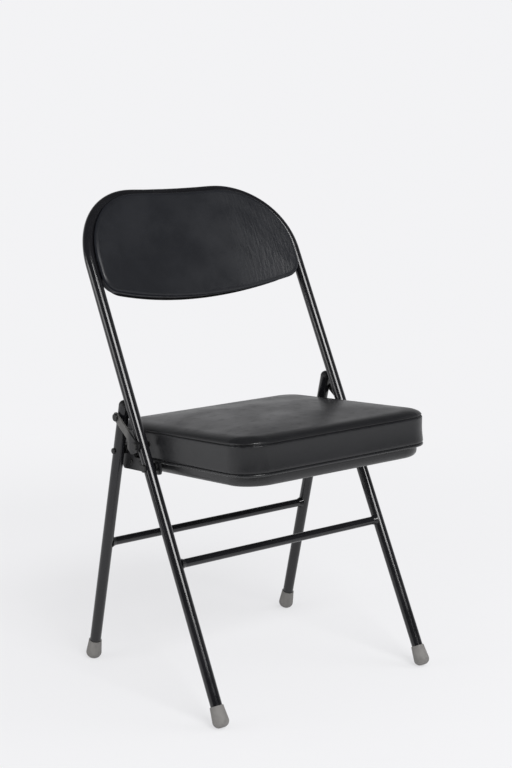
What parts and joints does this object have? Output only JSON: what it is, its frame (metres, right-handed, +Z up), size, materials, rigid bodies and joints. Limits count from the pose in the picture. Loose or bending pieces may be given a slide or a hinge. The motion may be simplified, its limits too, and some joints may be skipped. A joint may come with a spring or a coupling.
{
  "type": "folding chair",
  "caption": "Folding chair with a round steel tube frame, a boxed vinyl seat cushion, a bowed padded back, crossbars and grey foot caps; the seat swings up and the rear legs fold flat.",
  "frame": {"origin": "on the floor, under the middle of the standing chair's outer box", "axes": "+Z up, +X to the right seen from the front, +Y to the rear; the seat's front edge points to -Y"},
  "size_m": [0.4638, 0.489, 0.8003],
  "materials": {
    "black_paint": "glossy black paint",
    "grey_plastic": "matt moulded plastic",
    "black_vinyl": "satin black vinyl over foam",
    "plywood": "bare plywood",
    "black_plastic": "satin moulded plastic",
    "zinc_steel": "dull zinc plate",
    "dark_steel": "blackened steel"
  },
  "bodies": {
    "front_frame": {"front_frame_tube": "black_paint", "front_crossbar": "black_paint", "front_crossbar_welds": "black_paint", "front_left_foot_cap": "grey_plastic", "front_right_foot_cap": "grey_plastic", "back_pad": "black_vinyl", "back_board": "plywood", "back_shell": "black_paint", "back_tabs": "black_paint", "back_screws": "zinc_steel", "seat_pivot_bolts": "dark_steel", "seat_pivot_nuts": "zinc_steel", "seat_pivot_spacers": "zinc_steel", "link_pivot_rivets": "zinc_steel", "link_pivot_washers": "zinc_steel"},
    "seat": {"seat_pan": "black_paint", "seat_board": "plywood", "seat_cushion": "black_vinyl", "seat_bracket_left": "black_paint", "seat_bracket_right": "black_paint", "bracket_studs": "zinc_steel", "seat_screws": "zinc_steel"},
    "rear_frame": {"rear_leg_left": "black_paint", "rear_leg_right": "black_paint", "rear_leg_plugs": "black_plastic", "rear_crossbar": "black_paint", "rear_crossbar_welds": "black_paint", "rear_left_foot_cap": "grey_plastic", "rear_right_foot_cap": "grey_plastic", "rear_pivot_bolts": "dark_steel", "rear_pivot_nuts": "zinc_steel", "rear_pivot_spacers": "zinc_steel"},
    "left_link": {"fold_link_left": "zinc_steel", "link_end_rivet_left": "dark_steel"},
    "right_link": {"fold_link_right": "zinc_steel", "link_end_rivet_right": "dark_steel"}
  },
  "joints": [
    {"name": "seat_fold", "type": "hinge", "parent": "front_frame", "child": "seat", "pos_m": [0, -0.01313, 0.37612], "axis": [-1, 0, 0], "range_deg": [0, 108.46]},
    {"name": "rear_legs_fold", "type": "hinge", "parent": "seat", "child": "rear_frame", "pos_m": [0, 0.07535, 0.38782], "axis": [1, 0, 0], "range_deg": [0, 67.23]},
    {"name": "left_link_turn", "type": "hinge", "parent": "front_frame", "child": "left_link", "pos_m": [-0.2271, 0.00478, 0.40996], "axis": [-1, 0, 0], "range_deg": [0, 128.85]},
    {"name": "right_link_turn", "type": "hinge", "parent": "front_frame", "child": "right_link", "pos_m": [0.2271, 0.00478, 0.40996], "axis": [-1, 0, 0], "range_deg": [0, 128.85]}
  ],
  "couplings": [
    {"joint": "rear_legs_fold", "follows": "seat_fold", "ratio": 0.61939},
    {"joint": "left_link_turn", "follows": "seat_fold", "ratio": 1.1876},
    {"joint": "right_link_turn", "follows": "seat_fold", "ratio": 1.1876}
  ]
}
